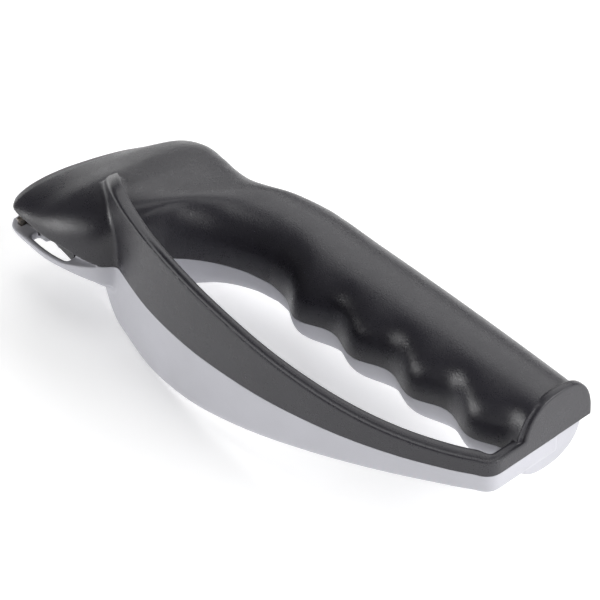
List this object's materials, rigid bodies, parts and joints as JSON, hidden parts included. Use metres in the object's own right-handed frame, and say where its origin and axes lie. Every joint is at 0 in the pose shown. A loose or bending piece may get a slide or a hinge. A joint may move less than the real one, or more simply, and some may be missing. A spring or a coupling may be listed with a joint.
{
  "type": "pull-through knife sharpener",
  "caption": "Hand-held pull-through knife sharpener with a finger-hollowed grip, a full hand guard and a flat head whose edge slot holds crossed carbide plates.",
  "frame": {"origin": "bottom centre of the box around the whole sharpener, lying on its light side", "axes": "+X from the nose to the butt, -Y towards the guard, +Z out of the dark shell, square to the parting plane"},
  "size_m": [0.1512, 0.0566, 0.0431],
  "materials": {
    "charcoal_plastic": "fine satin grain",
    "light_grey_plastic": "satin",
    "black_plastic": "moulded",
    "carbide": "ground",
    "screw_steel": "zinc plated"
  },
  "bodies": {
    "root": {"upper_shell": "charcoal_plastic", "lower_shell": "light_grey_plastic", "cutter_carrier": "black_plastic", "carbide_plate_upper": "carbide", "carbide_plate_lower": "carbide", "carrier_screw": "screw_steel", "shell_screw_1": "screw_steel", "shell_screw_2": "screw_steel", "shell_screw_3": "screw_steel", "shell_screw_4": "screw_steel"}
  },
  "joints": []
}
